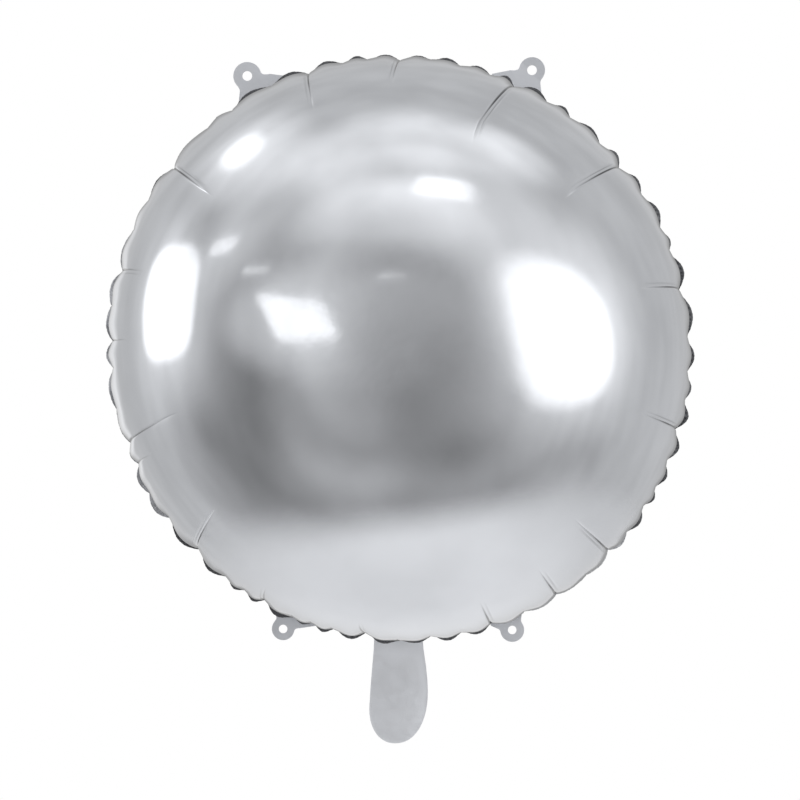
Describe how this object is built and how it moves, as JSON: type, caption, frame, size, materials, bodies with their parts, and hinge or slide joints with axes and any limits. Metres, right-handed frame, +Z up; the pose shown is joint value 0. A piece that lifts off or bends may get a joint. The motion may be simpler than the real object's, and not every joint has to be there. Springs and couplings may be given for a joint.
{
  "type": "round foil balloon",
  "caption": "Round silver foil balloon, filled: two domed foil sheets welded round a pleated rim, with punched hanging tabs and a flat filling neck.",
  "frame": {"origin": "middle of the filled envelope, in the plane of the rim seal", "axes": "+Z up, opposite the neck, which hangs along -Z; -Y out of the front sheet, so the disc's thickness runs along Y; +X to the right seen from the front"},
  "size_m": [0.4582, 0.2696, 0.5343],
  "materials": {
    "foil": "metallised film, mirror-like with a slight satin blur",
    "welded_foil": "metallised film, crimped by the heat seal",
    "flat_foil": "metallised film, flat and satin"
  },
  "bodies": {
    "envelope": {"front_sheet": "foil", "back_sheet": "foil", "rim_seal": "welded_foil"},
    "upper_left_tab": {"tab_upper_left": "flat_foil"},
    "upper_right_tab": {"tab_upper_right": "flat_foil"},
    "lower_right_tab": {"tab_lower_right": "flat_foil"},
    "lower_left_tab": {"tab_lower_left": "flat_foil"},
    "neck": {"neck_front_ply": "flat_foil", "neck_back_ply": "flat_foil"}
  },
  "joints": [
    {"name": "upper_left_tab_fold", "type": "hinge", "parent": "envelope", "child": "upper_left_tab", "pos_m": [-0.11401, 0, 0.204], "axis": [0.8729, 0, 0.4879], "range_deg": [-75, 75], "stiffness_Nm_per_rad": 0.0002},
    {"name": "upper_right_tab_fold", "type": "hinge", "parent": "envelope", "child": "upper_right_tab", "pos_m": [0.09887, 0, 0.20822], "axis": [0.9033, 0, -0.4289], "range_deg": [-75, 75], "stiffness_Nm_per_rad": 0.0002},
    {"name": "lower_right_tab_fold", "type": "hinge", "parent": "envelope", "child": "lower_right_tab", "pos_m": [0.08482, 0, -0.21207], "axis": [0.9285, 0, 0.3714], "range_deg": [-75, 75], "stiffness_Nm_per_rad": 0.0002},
    {"name": "lower_left_tab_fold", "type": "hinge", "parent": "envelope", "child": "lower_left_tab", "pos_m": [-0.08781, 0, -0.21095], "axis": [0.9232, 0, -0.3843], "range_deg": [-75, 75], "stiffness_Nm_per_rad": 0.0002},
    {"name": "neck_fold", "type": "hinge", "parent": "envelope", "child": "neck", "pos_m": [0, 0, -0.231], "axis": [1, 0, 0], "range_deg": [-90, 90]}
  ]
}
